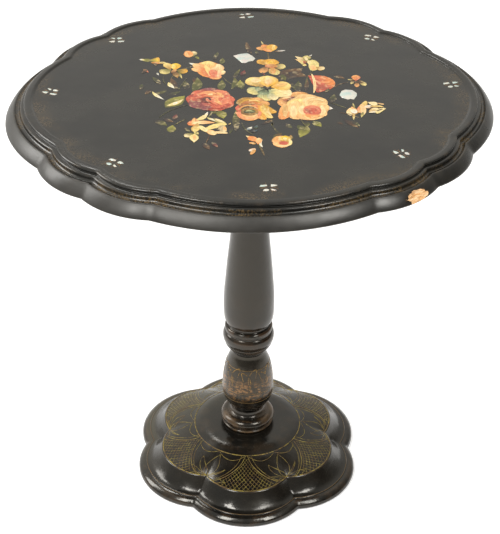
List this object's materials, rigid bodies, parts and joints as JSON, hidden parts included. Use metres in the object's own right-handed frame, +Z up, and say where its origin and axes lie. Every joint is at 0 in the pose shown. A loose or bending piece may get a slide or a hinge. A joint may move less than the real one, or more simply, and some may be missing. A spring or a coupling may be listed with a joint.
{
  "type": "tilt-top pedestal table",
  "caption": "Black lacquered pedestal table: a lobed papier-mache top with painted flowers tilts upright on a turned column over a lobed domed base.",
  "frame": {"origin": "on the floor under the middle of the column", "axes": "+X along the tilt axis, to the right of someone facing the painted face; +Y away from them; +Z up"},
  "size_m": [0.7276, 0.6738, 0.7],
  "materials": {
    "black_lacquer": "gloss",
    "raw_wood": "matte",
    "dark_wood": "satin",
    "cast_iron": "matte",
    "dark_iron": "satin",
    "steel": "satin",
    "brass": "satin"
  },
  "bodies": {
    "stand": {"base_ballast": "cast_iron", "base_board": "raw_wood", "base_hub": "raw_wood", "base_screw_1": "steel", "base_screw_2": "steel", "base_screw_3": "steel", "base_screw_4": "steel", "base_shell": "black_lacquer", "column_baluster": "black_lacquer", "column_collar": "black_lacquer", "column_foot": "black_lacquer", "column_ring": "black_lacquer", "column_shaft": "black_lacquer", "keeper_plate": "brass", "keeper_screw_1": "brass", "keeper_screw_2": "brass", "lower_nut": "dark_iron", "lower_washer": "dark_iron", "pivot_pin_left": "steel", "pivot_pin_right": "steel", "tie_rod": "dark_iron", "tilt_block": "dark_wood", "upper_nut": "dark_iron", "upper_washer": "dark_iron"},
    "top": {"bearer_left": "dark_wood", "bearer_right": "dark_wood", "bearer_screw_1": "steel", "bearer_screw_2": "steel", "bearer_screw_3": "steel", "bearer_screw_4": "steel", "bearer_screw_5": "steel", "bearer_screw_6": "steel", "bolt_plate": "brass", "bolt_plate_screw_1": "brass", "bolt_plate_screw_2": "brass", "bolt_plate_screw_3": "brass", "bolt_plate_screw_4": "brass", "bolt_staple_back": "brass", "bolt_staple_front": "brass", "table_top": "black_lacquer"},
    "slide_bolt": {"slide_bolt": "brass", "bolt_knob": "brass"}
  },
  "joints": [
    {"name": "top_tilt", "type": "hinge", "parent": "stand", "child": "top", "pos_m": [0, -0.075, 0.675], "axis": [1, 0, 0], "range_deg": [0, 90]},
    {"name": "bolt_slide", "type": "slide", "parent": "top", "child": "slide_bolt", "axis": [0, -1, 0], "range_m": [0, 0.01]}
  ]
}
